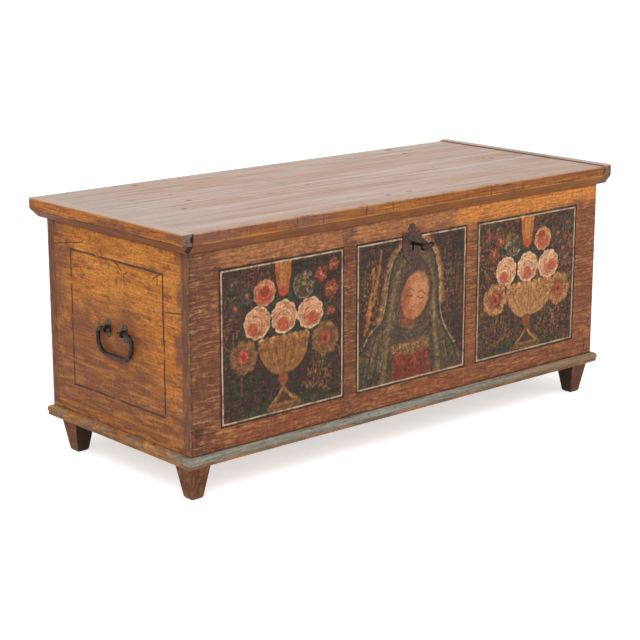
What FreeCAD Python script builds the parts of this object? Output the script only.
import FreeCAD, Part
import math
import os
import re
import Sketcher

# A painted antique chest: a dovetailed case on four tapered feet, a lid with two end cleats
# and a chamfered front moulding, strap hinges, a chest lock with its key, two drop handles
# and a small open till. Lengths are in millimetres and angles in degrees.
# X runs along the length, Y from the front to the back and Z up. The origin is on the
# floor, under the middle of the whole chest.

sizes = {
    # The case.
    "case_length": 1200,
    "case_depth": 490,
    "case_height": 428,
    "front_thick": 24,
    "end_thick": 22,
    "tail_count": 5,
    "pin_narrow": 32,
    "pin_wide": 42,
    "joint_gap": 0.2,
    # The bottom boards, whose rounded edges stand out round the case.
    "bottom_thick": 21,
    "bottom_out": 10,
    "bottom_end_out": 14,
    "bottom_back_out": 5,
    "band_height": 8,
    "band_step": 1.5,
    "nose_round": 8,
    "nose_under_round": 1.2,
    "bottom_middle_width": 132,
    "bottom_back_width": 52,
    "board_gap": 1.4,
    # The feet.
    "foot_height": 69,
    "foot_top": 50,
    "foot_low": 28,
    "foot_tip": 22,
    "foot_tip_height": 4,
    "foot_left_out": 9,
    "foot_right_in": 23,
    "foot_front_out": 8,
    "foot_back_in": 45,
    "foot_tenon_radius": 12,
    "foot_tenon_long": 14,
    # The lid.
    "lid_gap": 0.4,
    "lid_thick": 24.6,
    "lid_front_width": 259,
    "lid_back_over": 27,
    "front_gap": 0.5,
    "side_gap": 0.6,
    "cleat_thick": 25.4,
    "moulding_thick": 19.5,
    "moulding_drop": 18.4,
    "fascia_height": 23,
    "lip_thick": 3.5,
    "right_cleat_rise": 3.5,
    "right_cleat_round": 5,
    "edge_round": 2.5,
    "mould_gap": 0.8,
    "tongue_up": 7.5,
    "tongue_thick": 10,
    "tongue_long": 7,
    "tongue_gap": 0.3,
    # The hinges.
    "hinge_x": 380,
    "hinge_out": 6,
    "hinge_drop": 6,
    "barrel_radius": 5,
    "pin_radius": 2.5,
    "strap_thick": 3.5,
    "strap_width": 34,
    "strap_end_width": 20,
    "strap_past": 62,
    "leaf_long": 130,
    "knuckle_long": 12,
    "knuckle_gap": 0.4,
    "run_gap": 0.08,
    "strap_start": 7,
    "strap_play": 0.5,
    # The lock, with its places measured from the key's axis.
    "key_down": 78,
    "plate_thick": 2.5,
    "plate_left": 60,
    "plate_right": 82,
    "plate_low": 35,
    "plate_high": 70,
    "cover_inset": 13,
    "cover_low": 25,
    "cover_high": 68,
    "cover_deep": 20,
    "cover_wall": 2,
    "bolt_near": 8.5,
    "bolt_thick": 5,
    "bolt_low": 38,
    "bolt_high": 12,
    "bolt_tip": 21,
    "bolt_tail": 64,
    "leg_low": 10,
    "prong_width": 6,
    "notch_left": 5,
    "notch_right": 17,
    "notch_top": 19,
    "guide_gap": 0.3,
    "guide_wall": 3,
    "guide_width": 4,
    "guide_x": 28,
    "guide_spacing": 18,
    "stud_x": 21,
    "stud_width": 4,
    "stud_up": 8,
    "spring_thick": 1,
    "spring_end": 9,
    # The staple on the lid that takes the bolt.
    "staple_x": 26.5,
    "staple_thick": 5,
    "staple_side": 2.7,
    "staple_play": 0.8,
    "staple_head_room": 2,
    "staple_foot": 4,
    "staple_slot_gap": 2,
    "staple_base_long": 44,
    "staple_base_wide": 20,
    "staple_base_thick": 3,
    # The key and the plate round the keyhole.
    "key_reach": 56,
    "key_radius": 3.5,
    "key_wire": 2.5,
    "bow_long": 34,
    "bow_short": 22,
    "collar_out": 31,
    "collar_long": 3,
    "collar_radius": 5.5,
    "bit_reach": 16,
    "bit_thick": 3.5,
    "bit_long": 6,
    "bit_near": 8,
    "ward_wide": 1.2,
    "ward_deep": 6,
    "key_turn": 71,
    "hole_gap": 1,
    "escutcheon_wide": 56,
    "escutcheon_below": 47.5,
    "escutcheon_above": 42,
    "escutcheon_thick": 1.6,
    "escutcheon_shift": 3,
    # The drop handles.
    "bail_wide": 127,
    "bail_drop": 52,
    "bail_radius": 4.6,
    "bail_end_radius": 3,
    "bail_taper": 5,
    "bail_top_corner": 15,
    "bail_low_corner": 30,
    "bail_slip": 2.5,
    "bail_end_reach": 26,
    "bail_out": 8,
    "bail_below_middle": 3,
    "eye_half_spread": 29,
    "eye_wire": 2,
    "eye_gap": 0.3,
    "eye_leg_in": 19,
    "rose_radius": 10,
    "rose_rise": 9,
    "rose_thick": 1.2,
    "fit_gap": 0.1,
    # The till at the left end.
    "till_wide": 150,
    "till_deep": 140,
    "till_below_rim": 10,
    "till_thick": 12,
    "groove_deep": 6,
    # Forged nails: small, middle and large.
    "small_nail_long": 14,
    "small_nail_head": 6,
    "nail_long": 18,
    "nail_head": 8,
    "large_nail_long": 55,
    "large_nail_head": 10,
    # How far a cut runs past what it cuts.
    "overrun": 2,
}

# Places worked out from the sizes, each written as a sum of their names.
places = {
    "middle": "(key_reach - lid_back_over) / 2",
    "half_length": "case_length / 2",
    "case_bottom": "foot_height + bottom_thick",
    "rim": "case_bottom + case_height",
    "lid_under": "rim + lid_gap",
    "lid_top": "lid_under + lid_thick",
    "front_face": "middle - case_depth / 2",
    "back_face": "middle + case_depth / 2",
    "inner_front": "front_face + front_thick",
    "board_front": "front_face - front_gap",
    "lid_front": "board_front - moulding_thick",
    "lid_back": "back_face + lid_back_over",
    "lid_joint": "board_front + lid_front_width",
    "pitch": "case_height / tail_count",
    "board_half": "half_length + side_gap",
    "pivot_y": "back_face + hinge_out",
    "pivot_z": "rim - hinge_drop",
    "strap_low": "hinge_drop + lid_gap - strap_thick",
    "strap_to_joint": "pivot_y - lid_joint",
    "strap_long": "strap_to_joint + strap_past",
    "key_up": "case_height - key_down",
    "key_z": "case_bottom + key_up",
    "bolt_far": "bolt_near + bolt_thick",
    "bolt_top": "bolt_low + bolt_high",
    "bolt_middle": "bolt_near + bolt_thick / 2",
    "bow_centre": "key_reach - bow_short / 2",
    "bow_line": "bow_short / 2 - key_wire",
    "till_top": "case_height - till_below_rim",
    "till_floor": "till_top - till_deep",
    "till_front_x": "half_length - end_thick - till_wide",
    "bail_up": "case_height / 2 - bail_below_middle",
    "bail_line": "bail_wide / 2 - bail_radius",
    "bail_top_y": "bail_line - bail_top_corner",
    "bail_low_y": "bail_line - bail_low_corner",
    "eye_line": "bail_end_radius + eye_gap + eye_wire",
}

# The right half of the escutcheon, from its point up to the tip of its finial: shares of
# half its width, of its height, and the bulge of the edge that follows, of half its width.
escutcheon_shares = [
    (0.00, 0.00, 0.20),
    (1.00, 0.44, 0.04),
    (1.00, 0.72, 0.13),
    (0.62, 0.80, -0.07),
    (0.26, 0.835, 0.11),
    (0.27, 0.925, 0.10),
    (0.00, 1.00, 0.10),
]

# Places of the nails, as shares of the lengths that they follow.
bottom_nail_shares = [-0.72, -0.43, -0.14, 0.14, 0.43, 0.72]
end_nail_shares = [-0.34, 0.0, 0.22, 0.44]
moulding_nail_shares = [-0.92, -0.46, 0.0, 0.46, 0.92]
strap_nail_shares = [0.2, 0.5, 0.8]
leaf_nail_shares = [0.25, 0.55, 0.85]
escutcheon_nail_shares = [(-0.78, 0.62), (0.78, 0.62), (0.0, 0.13), (0.0, 0.9)]

UP = FreeCAD.Vector(0, 0, 1)
ALONG = FreeCAD.Vector(1, 0, 0)
BACK = FreeCAD.Vector(0, 1, 0)
ORIGIN = FreeCAD.Vector(0, 0, 0)
HALF_TURN = FreeCAD.Rotation(UP, 180)
NO_TURN = FreeCAD.Rotation(UP, 0)
TO_ALONG = FreeCAD.Rotation(BACK, 90)
TO_BACK = FreeCAD.Rotation(ALONG, -90)
# Turns a shape drawn flat in XY so that it stands in YZ.
STAND_UP = FreeCAD.Rotation(FreeCAD.Vector(1, 1, 1), 120)

doc = FreeCAD.newDocument("chest")
sheet = doc.addObject("Spreadsheet::Sheet", "sizes")
for row, (name, number) in enumerate(sizes.items(), 1):
    sheet.set("A%d" % row, name)
    sheet.set("B%d" % row, str(number))
    sheet.setAlias("B%d" % row, name)
doc.recompute()

parts = []


def full(text):
    """Spell out a sum of names so that it reads the sheet."""
    def spell(match):
        word = match.group(0)
        if word in places:
            return "(" + full(places[word]) + ")"
        if word in sizes:
            return "sizes." + word
        return word
    return re.sub(r"[a-z_]+", spell, text)


def value(text):
    return float(sheet.evalExpression(full(text)))


def point(x, y, z):
    return FreeCAD.Vector(value(x), value(y), value(z))


def bind(item, where, text):
    item.setExpression(where, full(text))


def put(item, x, y, z, turn=NO_TURN):
    item.Placement = FreeCAD.Placement(ORIGIN, turn)
    for axis, text in zip("xyz", (x, y, z)):
        bind(item, "Placement.Base." + axis, text)


def new_body(label, x, y, z, turn=NO_TURN):
    body = doc.addObject("PartDesign::Body", label)
    body.Label = label
    put(body, x, y, z, turn)
    parts.append(body)
    return body


def new_sketch(body, role, offset):
    """Start a sketch on one of the body's own planes, moved along the plane's normal."""
    sketch = body.newObject("Sketcher::SketchObject", "outline")
    plane = [item for item in body.Origin.OriginFeatures if item.Role == role][0]
    sketch.AttachmentSupport = [(plane, "")]
    sketch.MapMode = "FlatFace"
    bind(sketch, "AttachmentOffset.Base.z", offset)
    return sketch


def fix(sketch, edge, end, x, y):
    """Hold one end of an edge at its named place."""
    for kind, axis, text in (("DistanceX", -2, x), ("DistanceY", -1, y)):
        if not re.search("[a-z]", text):
            sketch.addConstraint(Sketcher.Constraint("PointOnObject", edge, end, axis))
            continue
        rule = Sketcher.Constraint(kind, -1, 1, edge, end, value(text))
        bind(sketch, "Constraints[%d]" % sketch.addConstraint(rule), text)


def bulged(start, end, height):
    """An arc from start to end that bulges to the right of the way it goes."""
    way = end - start
    side = FreeCAD.Vector(way.y, -way.x, 0).normalize()
    return Part.Arc(start, (start + end) / 2 + side * height, end)


def arc_centre(start, end, bulge):
    """How far an arc's centre lies along X and along Y, from its ends and its bulge."""
    x = "((%s) - (%s))" % (end[0], start[0])
    y = "((%s) - (%s))" % (end[1], start[1])
    chord = "(%s^2 + %s^2)" % (x, y)
    reach = "((%s)^2 - %s / 4) / (2 * (%s)) / sqrt(%s)" % (bulge, chord, bulge, chord)
    return ("((%s) + (%s)) / 2 + %s * %s" % (start[0], end[0], y, reach),
            "((%s) + (%s)) / 2 - %s * %s" % (start[1], end[1], x, reach))


def hold_centre(sketch, edge, start, end, bulge):
    """Set an arc by the coordinate of its centre that its bulge moves most."""
    x, y = arc_centre(start, end, bulge)
    flat = abs(value(end[0]) - value(start[0])) > abs(value(end[1]) - value(start[1]))
    kind, text = ("DistanceY", y) if flat else ("DistanceX", x)
    rule = Sketcher.Constraint(kind, -1, 1, edge, 3, value(text))
    bind(sketch, "Constraints[%d]" % sketch.addConstraint(rule), text)


def draw(sketch, corners):
    """Draw a closed outline. A third entry of a corner bulges the edge that leaves it."""
    first = sketch.GeometryCount
    count = len(corners)
    spots = [FreeCAD.Vector(value(c[0]), value(c[1]), 0) for c in corners]
    starts = []
    for number, corner in enumerate(corners):
        start = spots[number]
        end = spots[(number + 1) % count]
        starts.append(1)
        if len(corner) == 2:
            sketch.addGeometry(Part.LineSegment(start, end), False)
            continue
        height = value(corner[2])
        sketch.addGeometry(bulged(start, end, height), False)
        # A sketch keeps its arcs anticlockwise, so one that bulges left is stored reversed.
        starts[-1] = 1 if height > 0 else 2
    for number in range(count):
        after = (number + 1) % count
        rule = ("Coincident", first + number, 3 - starts[number], first + after, starts[after])
        sketch.addConstraint(Sketcher.Constraint(*rule))
        fix(sketch, first + number, starts[number], corners[number][0], corners[number][1])
    for number, corner in enumerate(corners):
        if len(corner) == 3:
            other = corners[(number + 1) % count]
            hold_centre(sketch, first + number, corner, other, corner[2])
    return sketch


def outline(body, role, corners, offset="0"):
    return draw(new_sketch(body, role, offset), corners)


def rectangle(body, role, x0, y0, x1, y1, offset="0"):
    return outline(body, role, [(x0, y0), (x1, y0), (x1, y1), (x0, y1)], offset)


def circles(body, role, centres, radius, offset="0"):
    sketch = new_sketch(body, role, offset)
    for x, y in centres:
        centre = FreeCAD.Vector(value(x), value(y), 0)
        edge = sketch.addGeometry(Part.Circle(centre, UP, value(radius)), False)
        fix(sketch, edge, 3, x, y)
        rule = Sketcher.Constraint("Radius", edge, value(radius))
        bind(sketch, "Constraints[%d]" % sketch.addConstraint(rule), radius)
    return sketch


def pad(body, sketch, length, back=False, both=False):
    feature = body.newObject("PartDesign::Pad", "pad")
    feature.Profile = sketch
    feature.Reversed = back
    feature.SideType = "Symmetric" if both else "One side"
    bind(feature, "Length", length)
    return feature


def must_bite(body, before):
    doc.recompute()
    if not body.Shape.Volume < before:
        raise ValueError("a cut in %s removed nothing" % body.Label)


def pocket(body, sketch, length=None, back=False, both=False):
    """Cut through all or to a depth, and make sure that it cut."""
    doc.recompute()
    before = body.Shape.Volume
    feature = body.newObject("PartDesign::Pocket", "pocket")
    feature.Profile = sketch
    feature.Reversed = not back
    feature.SideType = "Symmetric" if both else "One side"
    if length is None:
        feature.Type = "ThroughAll"
    else:
        bind(feature, "Length", length)
    must_bite(body, before)
    return feature


def repeat(body, feature, sketch, axis, span, count):
    pattern = body.newObject("PartDesign::LinearPattern", "row")
    pattern.Originals = [feature]
    pattern.Direction = (sketch, [axis])
    bind(pattern, "Length", span)
    pattern.Occurrences = count
    body.Tip = pattern
    return pattern


def round_edges(body, radius, wanted):
    """Round the edges whose ends and middle pass the test."""
    doc.recompute()
    base = body.Tip
    names = []
    for number, edge in enumerate(base.Shape.Edges, 1):
        spots = [vertex.Point for vertex in edge.Vertexes] + [edge.CenterOfMass]
        if all(wanted(spot) for spot in spots):
            names.append("Edge%d" % number)
    if not names:
        raise ValueError("no edge to round on %s" % body.Label)
    feature = body.newObject("PartDesign::Fillet", "rounding")
    feature.Base = (base, names)
    bind(feature, "Radius", radius)
    return feature


def near(number, text):
    return math.isclose(number, value(text), abs_tol=value("fit_gap"))


def solid(kind, x="0", y="0", z="0", turn=NO_TURN, **bound):
    item = doc.addObject("Part::" + kind, kind.lower())
    for name, text in bound.items():
        bind(item, name, text)
    put(item, x, y, z, turn)
    return item


def finish(item, label, x, y, z, turn=NO_TURN):
    item.Label = label
    put(item, x, y, z, turn)
    parts.append(item)
    return item


def fuse(items):
    joined = doc.addObject("Part::MultiFuse", "joined")
    joined.Shapes = items
    return joined


def cut(base, tool):
    result = doc.addObject("Part::Cut", "cut")
    result.Base = base
    result.Tool = tool
    return result


# The case.

def socket(side):
    """The gap between two tails at one end of a long board."""
    slope = "(pin_wide - pin_narrow) / 2 / end_thick"
    outer = "(pin_narrow / 2 + joint_gap - %s * overrun)" % slope
    inner = "(pin_wide / 2 + joint_gap)"
    end = "%s(half_length + overrun)" % side
    root = "%s(half_length - end_thick)" % side
    return [(end, "-" + outer), (root, "-" + inner), (root, inner), (end, outer)]


def till_grooves(body, side):
    """Slots for the till's front and floor, cut into the board's inner face."""
    near_x = "%s(till_front_x + tongue_gap / 2)" % side
    far_x = "%s(till_front_x - till_thick - tongue_gap / 2)" % side
    end_x = "%s(half_length - end_thick)" % side
    low = "till_floor - tongue_gap / 2"
    high = "till_floor + till_thick + tongue_gap / 2"
    upright = rectangle(body, "XZ_Plane", near_x, low, far_x, "case_height + overrun",
                        "-front_thick")
    pocket(body, upright, "groove_deep")
    level = rectangle(body, "XZ_Plane", end_x, low, near_x, high, "-front_thick")
    pocket(body, level, "groove_deep")


def long_board(label, y, turn, side):
    body = new_body(label, "0", y, "case_bottom", turn)
    face = rectangle(body, "XZ_Plane", "-half_length", "0", "half_length", "case_height")
    pad(body, face, "front_thick", back=True)
    sketch = new_sketch(body, "XZ_Plane", "0")
    draw(sketch, socket("-"))
    draw(sketch, socket(""))
    first = pocket(body, sketch, back=True)
    count = int(value("tail_count")) + 1
    repeat(body, first, sketch, "V_Axis", "case_height", count)
    till_grooves(body, side)
    return body


def keyhole(radius, half_slot, depth):
    """The outline of a keyhole round its axis: a round hole with a slot below it."""
    shoulder = "-sqrt((%s)^2 - (%s)^2)" % (radius, half_slot)
    low = "-(%s)" % depth
    left = "-(%s)" % half_slot
    return [(left, low), (half_slot, low),
            (half_slot, shoulder, "%s - (%s)" % (radius, shoulder)), (left, shoulder)]


def shifted(corners, x, z):
    return [("%s + %s" % (c[0], x), "%s + %s" % (c[1], z)) + tuple(c[2:]) for c in corners]


def front_board():
    body = long_board("front_board", "front_face", NO_TURN, "-")
    hole = keyhole("key_radius + 2 * hole_gap", "bit_thick / 2 + hole_gap", "bit_reach + hole_gap")
    pocket(body, outline(body, "XZ_Plane", shifted(hole, "0", "key_up")), back=True)


def back_board():
    body = long_board("back_board", "back_face", HALF_TURN, "")
    low = "case_height - (strap_thick - lid_gap) - strap_play"
    for side in ("-", ""):
        left = "%shinge_x - strap_width / 2 - strap_play" % side
        right = "%shinge_x + strap_width / 2 + strap_play" % side
        notch = rectangle(body, "XZ_Plane", left, low, right, "case_height + overrun")
        pocket(body, notch, back=True)


def end_board(label, x, turn):
    """An end of the case: its pins stand between the tails of the long boards."""
    body = new_body(label, x, "middle", "case_bottom", turn)
    half = "(case_depth / 2 - front_thick)"
    panel = rectangle(body, "YZ_Plane", "-" + half, "0", half, "case_height")
    pad(body, panel, "end_thick")
    ends = new_sketch(body, "XZ_Plane", "0")
    draw(ends, [("0", "0"), ("end_thick", "0"), ("end_thick", "pin_wide / 2"),
                ("0", "pin_narrow / 2")])
    draw(ends, [("0", "case_height - pin_narrow / 2"),
                ("end_thick", "case_height - pin_wide / 2"),
                ("end_thick", "case_height"), ("0", "case_height")])
    pad(body, ends, "case_depth", both=True)
    pin = outline(body, "XZ_Plane", [
        ("0", "pitch - pin_narrow / 2"), ("end_thick", "pitch - pin_wide / 2"),
        ("end_thick", "pitch + pin_wide / 2"), ("0", "pitch + pin_narrow / 2")])
    first = pad(body, pin, "case_depth", both=True)
    count = int(value("tail_count")) - 1
    repeat(body, first, pin, "V_Axis", "case_height - 2 * pitch", count)
    legs = [(side + "eye_half_spread", "bail_up %s eye_line" % way)
            for side in ("-", "") for way in "-+"]
    bores = circles(body, "YZ_Plane", legs, "eye_wire + fit_gap")
    pocket(body, bores, "eye_leg_in + fit_gap")


def bottom_board(label, front, back, outer):
    """A lengthwise board under the case. Its outer edges have a round nose over a band."""
    body = new_body(label, "0", "middle", "foot_height")
    step = {"front": "0", "back": "0"}
    step.update({side: "band_step" for side in outer})
    long = "(half_length + bottom_end_out)"
    band = rectangle(body, "XY_Plane", "-%s + band_step" % long, "%s + %s" % (front, step["front"]),
                     "%s - band_step" % long, "%s - %s" % (back, step["back"]))
    pad(body, band, "band_height")
    nose = rectangle(body, "XY_Plane", "-" + long, front, long, back, "band_height")
    pad(body, nose, "bottom_thick - band_height")
    rims = {"front": front, "back": back}

    def at_rim(spot):
        if near(abs(spot.x), long):
            return True
        return any(near(spot.y, rims[side]) for side in outer)
    round_edges(body, "nose_round", lambda p: near(p.z, "bottom_thick") and at_rim(p))
    round_edges(body, "nose_under_round", lambda p: near(p.z, "band_height") and at_rim(p))
    return body


foot_places = {
    "front_left_foot": ("-half_length - foot_left_out + foot_top / 2",
                        "-case_depth / 2 - foot_front_out + foot_top / 2"),
    "front_right_foot": ("half_length - foot_right_in - foot_top / 2",
                         "-case_depth / 2 - foot_front_out + foot_top / 2"),
    "back_left_foot": ("-half_length - foot_left_out + foot_top / 2",
                       "case_depth / 2 - foot_back_in - foot_top / 2"),
    "back_right_foot": ("half_length - foot_right_in - foot_top / 2",
                        "case_depth / 2 - foot_back_in - foot_top / 2"),
}


def tenon_bores(body, row):
    spots = [place for label, place in foot_places.items() if label.startswith(row)]
    sketch = circles(body, "XY_Plane", spots, "foot_tenon_radius + fit_gap")
    pocket(body, sketch, "foot_tenon_long + fit_gap")


def bottom_boards():
    front = "-case_depth / 2 - bottom_out"
    back = "case_depth / 2 + bottom_back_out"
    second = back + " - bottom_back_width"
    first = second + " - bottom_middle_width"
    body = bottom_board("bottom_board_front", front, first, ["front"])
    tenon_bores(body, "front")
    body = bottom_board("bottom_board_middle", first + " + board_gap", second, [])
    tenon_bores(body, "back")
    bottom_board("bottom_board_back", second + " + board_gap", back, ["back"])


def square(body, side, offset):
    half = "%s / 2" % side
    return rectangle(body, "XY_Plane", "-" + half, "-" + half, half, half, offset)


def loft(body, low, high):
    feature = body.newObject("PartDesign::AdditiveLoft", "taper")
    feature.Profile = low
    feature.Sections = [high]
    feature.Ruled = True


def foot(label, x, y):
    """A square foot that tapers to a worn tip, with a round tenon on top."""
    body = new_body(label, x, "middle + " + y, "0")
    loft(body, square(body, "foot_tip", "0"), square(body, "foot_low", "foot_tip_height"))
    loft(body, square(body, "foot_low", "foot_tip_height"), square(body, "foot_top", "foot_height"))
    tenon = circles(body, "XY_Plane", [("0", "0")], "foot_tenon_radius", "foot_height")
    pad(body, tenon, "foot_tenon_long")


def till():
    """A small open tray across the left end: an upright front and a floor, let into grooves."""
    half = "(case_depth / 2 - front_thick + groove_deep - tongue_gap)"
    front = new_body("till_front", "-till_front_x", "middle", "case_bottom + till_floor")
    face = rectangle(front, "YZ_Plane", "-" + half, "0", half, "till_deep")
    pad(front, face, "till_thick")
    round_edges(front, "edge_round", lambda p: near(p.z, "till_deep") and abs(p.y) < value(half) * 2)
    base = new_body("till_bottom", "-till_front_x", "middle", "case_bottom + till_floor")
    floor = rectangle(base, "XY_Plane", "-till_wide", "-" + half, "0", half)
    pad(base, floor, "till_thick")


# The lid.

def lid_board(label, front, back):
    """A board of the lid's top, with a tongue at each end for the cleats."""
    body = new_body(label, "0", front, "lid_under")
    tip = "(board_half + tongue_long)"
    low = "tongue_up"
    high = "tongue_up + tongue_thick"
    right = [("board_half", "0"), ("board_half", low), (tip, low), (tip, high),
             ("board_half", high), ("board_half", "lid_thick")]
    left = [("-" + x, z) for x, z in reversed(right)]
    pad(body, outline(body, "XZ_Plane", right + left), "%s - (%s)" % (back, front), back=True)


def moulding_corners(thick, top):
    """The section of the lid's hanging edge: a fascia over a chamfer that ends in a thin lip."""
    return [("0", "-moulding_drop"), ("lip_thick", "-moulding_drop"),
            (thick, "lid_thick - fascia_height"), (thick, top), ("0", top)]


def cleat_groove():
    deep = "tongue_long + tongue_gap"
    return [("0", "tongue_up + tongue_thick + tongue_gap"),
            (deep, "tongue_up + tongue_thick + tongue_gap"),
            (deep, "tongue_up - tongue_gap"), ("0", "tongue_up - tongue_gap")]


def bevel_front_end(body, side):
    """Carry the front moulding's chamfer across the end of a cleat."""
    high = "lid_thick - fascia_height"
    ramp = "%s(moulding_thick - lip_thick)" % side
    outer = "-(%soverrun)" % side
    below = "-moulding_drop - overrun"
    corners = [("0", high), (ramp, "-moulding_drop"), (ramp, below), (outer, below), (outer, high)]
    pocket(body, outline(body, "YZ_Plane", corners), both=True)


def cleat(label, x, section, turn):
    """A cross piece at the lid's end. Its section is drawn with X pointing outwards."""
    body = new_body(label, x, "lid_front", "lid_under", turn)
    along = turn is NO_TURN
    pad(body, outline(body, "XZ_Plane", section), "lid_back - lid_front", back=along)
    bevel_front_end(body, "" if along else "-")
    return body


def left_cleat():
    section = moulding_corners("cleat_thick", "lid_thick") + cleat_groove()
    body = cleat("left_cleat", "-board_half", section, HALF_TURN)
    round_edges(body, "edge_round",
                lambda p: near(p.z, "lid_thick") and near(p.x, "cleat_thick"))


def right_cleat():
    top = "lid_thick + right_cleat_rise"
    section = [("0", "-moulding_drop"), ("cleat_thick", "-moulding_drop"), ("cleat_thick", top),
               ("0", top)] + cleat_groove()
    body = cleat("right_cleat", "board_half", section, NO_TURN)
    round_edges(body, "right_cleat_round", lambda p: near(p.z, top) and near(p.x, "cleat_thick"))
    round_edges(body, "edge_round", lambda p: near(p.z, top) and near(p.x, "0"))


def front_moulding():
    body = new_body("lid_front_moulding", "0", "board_front", "lid_under")
    section = [("-(%s)" % y, z) if y != "0" else (y, z)
               for y, z in moulding_corners("moulding_thick", "lid_thick")]
    pad(body, outline(body, "YZ_Plane", section), "2 * (board_half - mould_gap)", both=True)
    round_edges(body, "edge_round",
                lambda p: near(p.z, "lid_thick") and near(p.y, "-moulding_thick"))


def lid():
    lid_board("lid_board_front", "board_front", "lid_joint")
    lid_board("lid_board_back", "lid_joint", "lid_back")
    left_cleat()
    right_cleat()
    front_moulding()


# The hinges, drawn round the axis of their pins.

def strap_outline(start, long):
    """A strap that is straight by its barrel and then narrows to a rounded end."""
    wide = "strap_width / 2"
    slim = "strap_end_width / 2"
    end = "-(%s - strap_end_width / 2)" % long
    root = "-(%s)" % start
    straight = "-(%s + 2 * barrel_radius)" % start
    return [("-" + wide, root), ("-" + wide, straight), ("-" + slim, end, slim), (slim, end),
            (wide, straight), (wide, root)]


def barrel(body, spans):
    for start, end in spans:
        ring = circles(body, "YZ_Plane", [("0", "0")], "barrel_radius", start)
        pad(body, ring, "%s - (%s)" % (end, start))


def hinge(side, name):
    place = (side + "hinge_x", "pivot_y", "pivot_z")
    half = "knuckle_long / 2"
    strap = new_body(name + "_hinge_strap", *place)
    plan = strap_outline("strap_start", "strap_long")
    link = [("(%s)" % half, "-strap_start"), ("(%s)" % half, "0"), ("-(%s)" % half, "0"),
            ("-(%s)" % half, "-strap_start")]
    pad(strap, outline(strap, "XY_Plane", plan + link, "strap_low"), "strap_thick")
    barrel(strap, [("-(%s)" % half, half)])
    bore = circles(strap, "YZ_Plane", [("0", "0")], "pin_radius + run_gap")
    pocket(strap, bore, both=True)

    leaf = new_body(name + "_hinge_leaf", *place)
    inner = "%s + knuckle_gap" % half
    low = "-(barrel_radius + knuckle_gap)"
    gap = [("(%s)" % inner, "0"), ("(%s)" % inner, low), ("-(%s)" % inner, low),
           ("-(%s)" % inner, "0")]
    shape = outline(leaf, "XZ_Plane", strap_outline("0", "leaf_long") + gap, "hinge_out")
    pad(leaf, shape, "strap_thick", back=True)
    barrel(leaf, [(inner, "strap_width / 2"), ("-strap_width / 2", "-(%s)" % inner)])
    bore = circles(leaf, "YZ_Plane", [("0", "0")], "pin_radius + run_gap")
    pocket(leaf, bore, both=True)
    pin = solid("Cylinder", Radius="pin_radius", Height="strap_width")
    finish(pin, name + "_hinge_pin", side + "hinge_x - strap_width / 2", "pivot_y", "pivot_z",
           TO_ALONG)


# The lock. Its pieces are drawn from the key's axis, with Y counted from the inner face.

def lock_place():
    return ("0", "inner_front", "key_z")


def lock_plate():
    body = new_body("lock_plate", *lock_place())
    face = rectangle(body, "XZ_Plane", "-plate_left", "-plate_low", "plate_right", "plate_high")
    pad(body, face, "plate_thick", back=True)
    near_y = "bolt_near - guide_gap"
    far_y = "bolt_far + guide_gap"
    low = "bolt_low - guide_gap"
    high = "bolt_top + guide_gap"
    ring = new_sketch(body, "YZ_Plane", "guide_x")
    outer_low = low + " - guide_wall"
    outer_high = high + " + guide_wall"
    outer_y = far_y + " + guide_wall"
    draw(ring, [("plate_thick / 2", outer_low), (outer_y, outer_low), (outer_y, outer_high),
                ("plate_thick / 2", outer_high)])
    draw(ring, [(near_y, low), (far_y, low), (far_y, high), (near_y, high)])
    guide = pad(body, ring, "guide_width")
    repeat(body, guide, ring, "N_Axis", "guide_spacing", 2)
    stud = rectangle(body, "XZ_Plane", "stud_x", "bolt_top + stud_up - stud_width",
                     "stud_x + stud_width", "bolt_top + stud_up")
    pad(body, stud, "bolt_far", back=True)
    hole = keyhole("key_radius + run_gap", "bit_thick / 2 + guide_gap", "bit_reach + guide_gap")
    pocket(body, outline(body, "XZ_Plane", hole), "plate_thick", back=True)


def lock_bolt():
    """The bolt: a bar with a leg, whose notch the key's bit pushes along."""
    body = new_body("lock_bolt", *lock_place())
    left = "-(notch_left + prong_width)"
    right = "notch_right + prong_width"
    shape = outline(body, "XZ_Plane", [
        ("-bolt_tip", "bolt_low"), (left, "bolt_low"), (left, "leg_low"), ("-notch_left", "leg_low"),
        ("-notch_left", "notch_top"), ("notch_right", "notch_top"), ("notch_right", "leg_low"),
        (right, "leg_low"), (right, "bolt_low"), ("bolt_tail", "bolt_low"),
        ("bolt_tail", "bolt_top"), ("-bolt_tip", "bolt_top")], "-bolt_near")
    pad(body, shape, "bolt_thick", back=True)


def lock_spring():
    """A leaf that starts on the stud and presses on the bolt."""
    body = new_body("lock_spring", *lock_place())
    root = "bolt_top + stud_up"
    rest = "bolt_top + guide_gap"
    shape = outline(body, "XZ_Plane", [
        ("stud_x + stud_width", root), ("stud_x + stud_width", root + " + spring_thick"),
        ("stud_x", root + " + spring_thick"), ("-spring_end", rest + " + spring_thick"),
        ("-spring_end", rest), ("stud_x", root)], "-bolt_near")
    pad(body, shape, "bolt_thick", back=True)


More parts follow.
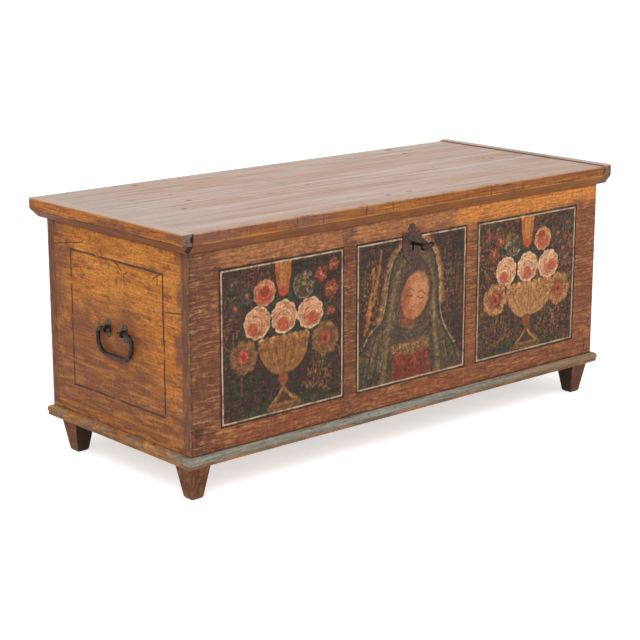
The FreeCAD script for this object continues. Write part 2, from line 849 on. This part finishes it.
def lock_cover():
    body = new_body("lock_cover", *lock_place())
    left = "-(plate_left - cover_inset)"
    right = "plate_right - cover_inset"
    shell = rectangle(body, "XZ_Plane", left, "-cover_low", right, "cover_high", "-plate_thick")
    pad(body, shell, "cover_deep", back=True)
    room = rectangle(body, "XZ_Plane", left + " + cover_wall", "-cover_low + cover_wall",
                     right + " - cover_wall", "cover_high - cover_wall", "-plate_thick")
    pocket(body, room, "cover_deep - cover_wall", back=True)
    reach = "(bolt_thick / 2 + staple_play + staple_side + staple_slot_gap)"
    slot = rectangle(body, "XY_Plane", "-staple_x - staple_thick / 2 - staple_slot_gap",
                     "plate_thick - overrun", "-staple_x + staple_thick / 2 + staple_slot_gap",
                     "bolt_middle + " + reach, "cover_high")
    pocket(body, slot, "2 * cover_wall", back=True)
    hole = circles(body, "XZ_Plane", [("0", "0")], "key_radius + run_gap")
    pocket(body, hole, back=True)


def lid_staple():
    """A looped tongue that hangs from the lid into the lock."""
    body = new_body("lid_staple", "-staple_x", "inner_front + bolt_middle", "lid_under")
    base = rectangle(body, "XY_Plane", "-staple_base_long / 2", "-staple_base_wide / 2 + overrun",
                     "staple_base_long / 2", "staple_base_wide / 2 + overrun", "-staple_base_thick")
    pad(body, base, "staple_base_thick")
    hang = "(key_z - lid_under)"
    half = "(bolt_thick / 2 + staple_play)"
    low = "%s + bolt_low - staple_head_room" % hang
    high = "%s + bolt_top + staple_head_room" % hang
    loop = new_sketch(body, "YZ_Plane", "0")
    draw(loop, [("-%s - staple_side" % half, low), ("%s + staple_side" % half, low),
                ("%s + staple_side" % half, "0"), ("-%s - staple_side" % half, "0")])
    pad(body, loop, "staple_thick", both=True)
    foot_end = outline(body, "YZ_Plane", [
        ("-%s - staple_side" % half, low, "staple_foot"), ("%s + staple_side" % half, low)])
    pad(body, foot_end, "staple_thick", both=True)
    eye = rectangle(body, "YZ_Plane", "-" + half, low, half, high)
    pocket(body, eye, both=True)


def escutcheon():
    body = new_body("escutcheon", "-escutcheon_shift", "front_face", "key_z")
    half = "escutcheon_wide / 2"
    tall = "(escutcheon_below + escutcheon_above)"
    right = []
    for x, z, bulge in escutcheon_shares[:-1]:
        spot = ("%s * %s" % (x, half) if x else "0", "%s * %s - escutcheon_below" % (z, tall))
        right.append(spot + ("%s * %s" % (bulge, half),))
    left = []
    for number in range(len(escutcheon_shares) - 1, 0, -1):
        x, z, _ = escutcheon_shares[number]
        bulge = escutcheon_shares[number - 1][2]
        spot = ("%s * %s" % (-x, half) if x else "0", "%s * %s - escutcheon_below" % (z, tall))
        left.append(spot + ("%s * %s" % (bulge, half),))
    pad(body, outline(body, "XZ_Plane", right + left), "escutcheon_thick")
    hole = keyhole("key_radius + hole_gap", "bit_thick / 2 + hole_gap / 2", "bit_reach + hole_gap / 2")
    sketch = outline(body, "XZ_Plane", shifted(hole, "escutcheon_shift", "0"))
    pocket(body, sketch, both=True)


def key():
    """An iron key with an oval bow, a collar and a plain bit, drawn with its bit upwards."""
    near_end = "-(bow_centre - bow_line)"
    tip = "front_thick + plate_thick + cover_deep + cover_wall / 2"
    pieces = [
        solid("Cylinder", y=near_end, turn=TO_BACK, Radius="key_radius",
              Height="%s - (%s)" % (tip, near_end)),
        solid("Cylinder", y="-collar_out", turn=TO_BACK, Radius="collar_radius", Height="collar_long"),
        solid("Box", x="-bit_thick / 2", y="front_thick + bit_near", Length="bit_thick",
              Width="bit_long", Height="bit_reach"),
    ]
    ward = solid("Box", x="-bit_thick / 2 - overrun", z="bit_reach - ward_deep",
                 y="front_thick + bit_near + bit_long / 2 - ward_wide / 2",
                 Length="bit_thick + 2 * overrun", Width="ward_wide",
                 Height="ward_deep + overrun")
    pieces[-1] = cut(pieces[-1], ward)
    lift = "bow_long / 2 - bow_short / 2"
    for side, turn in (("", STAND_UP), ("-", STAND_UP * HALF_TURN)):
        half = solid("Torus", y="-bow_centre", z="%s(%s)" % (side, lift), turn=turn,
                     Radius1="bow_line", Radius2="key_wire")
        half.Angle3 = 180
        pieces.append(half)
        pieces.append(solid("Cylinder", y="-bow_centre %s bow_line" % (side or "+"),
                            z="-(%s)" % lift, Radius="key_wire", Height="2 * (%s)" % lift))
    whole = finish(fuse(pieces), "key", "0", "front_face", "key_z", TO_BACK)
    whole.Placement = FreeCAD.Placement(ORIGIN, FreeCAD.Rotation(BACK, value("key_turn")))
    bind(whole, "Placement.Rotation.Angle", "key_turn")


# The drop handles, drawn with X pointing out of the end of the case.

def turned(angle, **rest):
    """A piece of a ring that starts at a named angle."""
    item = solid("Torus", **rest)
    item.Placement = FreeCAD.Placement(ORIGIN, FreeCAD.Rotation(UP, value(angle)))
    bind(item, "Placement.Rotation.Angle", angle)
    return item


def bail_pieces():
    """One handle lying flat: X along its width and Y up, with the pivot line at zero."""
    high = {"y": "-bail_top_corner", "Radius1": "bail_top_corner", "Radius2": "bail_radius",
            "Angle3": "90"}
    low = {"y": "bail_low_corner - bail_drop", "Radius1": "bail_low_corner",
           "Radius2": "bail_radius", "Angle3": "90"}
    pieces = [
        turned("0", x="bail_top_y", **high),
        turned("90", x="-bail_top_y", **high),
        turned("180", x="-bail_low_y", **low),
        turned("270", x="bail_low_y", **low),
        solid("Cylinder", x="-bail_low_y", y="-bail_drop", turn=TO_ALONG, Radius="bail_radius",
              Height="2 * bail_low_y"),
    ]
    inner = "bail_top_y - bail_taper"
    for sign, turn in (("", TO_ALONG), ("-", TO_ALONG.inverted())):
        pieces.append(solid("Cylinder", x=sign + "bail_line", y=low["y"], turn=TO_BACK,
                            Radius="bail_radius",
                            Height="bail_drop - bail_low_corner - bail_top_corner"))
        pieces.append(solid("Cone", x="%s(%s)" % (sign, inner), turn=turn,
                            Radius1="bail_end_radius", Radius2="bail_radius", Height="bail_taper"))
        pieces.append(solid("Cylinder", x="%s(%s - bail_end_reach)" % (sign, inner), turn=turn,
                            Radius="bail_end_radius", Height="bail_end_reach"))
    return pieces


def handle(name, face, turn):
    out = "%s(half_length + bail_out)" % face
    up = "case_bottom + bail_up"
    bail = fuse(bail_pieces())
    finish(bail, name + "_bail", out, "middle - bail_slip", up, turn * STAND_UP)
    rings = []
    roses = []
    holes = []
    for side in ("-", ""):
        y = side + "eye_half_spread"
        ring = solid("Torus", x="bail_out", y=y, turn=STAND_UP.inverted(), Radius1="eye_line",
                     Radius2="eye_wire")
        ring.Angle3 = 180
        rings.append(ring)
        roses.append(solid("Box", y=y + " - rose_radius", z="-rose_rise", Length="rose_thick",
                           Width="2 * rose_radius", Height="2 * rose_rise"))
        for way in ("-", ""):
            roses.append(solid("Cylinder", y=y, z=way + "rose_rise", turn=TO_ALONG,
                               Radius="rose_radius", Height="rose_thick"))
            z = way + "eye_line"
            rings.append(solid("Cylinder", x="-eye_leg_in", y=y, z=z, turn=TO_ALONG,
                               Radius="eye_wire", Height="eye_leg_in + bail_out"))
            holes.append(solid("Cylinder", x="-overrun", y=y, z=z, turn=TO_ALONG,
                               Radius="eye_wire + fit_gap", Height="rose_thick + 2 * overrun"))
    place = (face + "half_length", "middle", up, turn)
    finish(fuse(rings), name + "_bail_staples", *place)
    finish(cut(fuse(roses), fuse(holes)), name + "_bail_plates", *place)


# The nails.

def square_wire(side, z):
    half = side / 2
    spots = [FreeCAD.Vector(x * half, y * half, z) for x, y in ((-1, -1), (1, -1), (1, 1), (-1, 1))]
    return Part.makePolygon(spots + spots[:1])


def forged_nail(long, head):
    """A nail along Z with its head below zero: a four-sided head and a tapered shank."""
    head_top = Part.makeLoft([square_wire(head / 3, -head / 4), square_wire(head, 0)], True, True)
    shank = Part.makeLoft([square_wire(head / 2, 0), square_wire(head / 6, long)], True, True)
    return head_top.fuse(shank).removeSplitter()


def nails(label, long, head, seats):
    """One node of equal nails. Each seat is a place and the way that its nail points."""
    solids = []
    for spot, way in seats:
        nail = forged_nail(value(long), value(head))
        nail.Placement = FreeCAD.Placement(spot, FreeCAD.Rotation(UP, way))
        solids.append(nail)
    item = doc.addObject("Part::Feature", label)
    item.Label = label
    item.Shape = Part.makeCompound(solids)
    item.Placement = FreeCAD.Placement(ORIGIN, NO_TURN)
    parts.append(item)


def share(number, text):
    return "(%s) * (%s)" % (number, text)


def escutcheon_seats():
    tall = "escutcheon_below + escutcheon_above"
    y = "front_face - escutcheon_thick"
    for x, z in escutcheon_nail_shares:
        yield point(share(x, "escutcheon_wide / 2") + " - escutcheon_shift", y,
                    "key_z - escutcheon_below + " + share(z, tall)), BACK


def lock_seats():
    for x in ("-(plate_left - cover_inset / 2)", "plate_right - cover_inset / 2"):
        for z in ("-plate_low + cover_inset", "plate_high - cover_inset"):
            yield point(x, "inner_front + plate_thick", "key_z + " + z), -BACK


def strap_seats():
    for side in ("-", ""):
        reaches = [share(number, "strap_to_joint") for number in strap_nail_shares]
        for reach in reaches + ["(strap_to_joint + strap_past / 2)"]:
            yield point(side + "hinge_x", "pivot_y - " + reach, "pivot_z + strap_low"), UP


def leaf_seats():
    for side in ("-", ""):
        for number in leaf_nail_shares:
            yield point(side + "hinge_x", "back_face + strap_thick",
                        "pivot_z - " + share(number, "leaf_long")), -BACK


def bottom_seats():
    for y in ("front_face + front_thick / 2", "back_face - front_thick / 2"):
        for number in bottom_nail_shares:
            yield point(share(number, "half_length"), y, "foot_height"), UP
    for side in ("-", ""):
        for number in end_nail_shares:
            yield point("%s(half_length - end_thick / 2)" % side,
                        "middle + " + share(number, "case_depth"), "foot_height"), UP


def moulding_seats():
    for number in moulding_nail_shares:
        yield point(share(number, "half_length"), "lid_front",
                    "lid_top - fascia_height / 2"), BACK


def staple_seats():
    for side in ("-", "+"):
        yield point("-staple_x %s (staple_base_long / 2 - staple_base_long / 6)" % side,
                    "inner_front + bolt_middle + overrun", "lid_under - staple_base_thick"), UP


def all_nails():
    nails("escutcheon_nails", "small_nail_long", "small_nail_head", escutcheon_seats())
    nails("lock_nails", "nail_long", "nail_head", lock_seats())
    nails("staple_nails", "nail_long", "nail_head", staple_seats())
    nails("hinge_strap_nails", "nail_long", "nail_head", strap_seats())
    nails("hinge_leaf_nails", "nail_long", "nail_head", leaf_seats())
    nails("moulding_nails", "large_nail_long", "nail_head", moulding_seats())
    nails("bottom_nails", "large_nail_long", "large_nail_head", bottom_seats())


def build():
    front_board()
    back_board()
    end_board("left_end_board", "-half_length", NO_TURN)
    end_board("right_end_board", "half_length", HALF_TURN)
    bottom_boards()
    for label, (x, y) in foot_places.items():
        foot(label, x, y)
    till()
    lid()
    hinge("-", "left")
    hinge("", "right")
    lock_plate()
    lock_bolt()
    lock_spring()
    lock_cover()
    lid_staple()
    escutcheon()
    key()
    handle("left", "-", HALF_TURN)
    handle("right", "", NO_TURN)
    all_nails()
    doc.recompute()


def check():
    for item in doc.Objects:
        if "Invalid" in item.State or "Error" in item.State:
            raise ValueError("%s failed: %s" % (item.Label, item.State))
    for item in parts:
        shape = item.Shape
        if shape.isNull() or not shape.isValid() or not shape.Solids:
            raise ValueError("%s has no valid solid" % item.Label)


def write():
    os.makedirs("parts", exist_ok=True)
    for item in parts:
        item.Shape.exportStep("parts/%s.step" % item.Label)


build()
check()
write()
whole = Part.makeCompound([item.Shape for item in parts]).BoundBox
print("%d pieces, %.1f x %.1f x %.1f mm" % (len(parts), whole.XLength, whole.YLength, whole.ZLength))
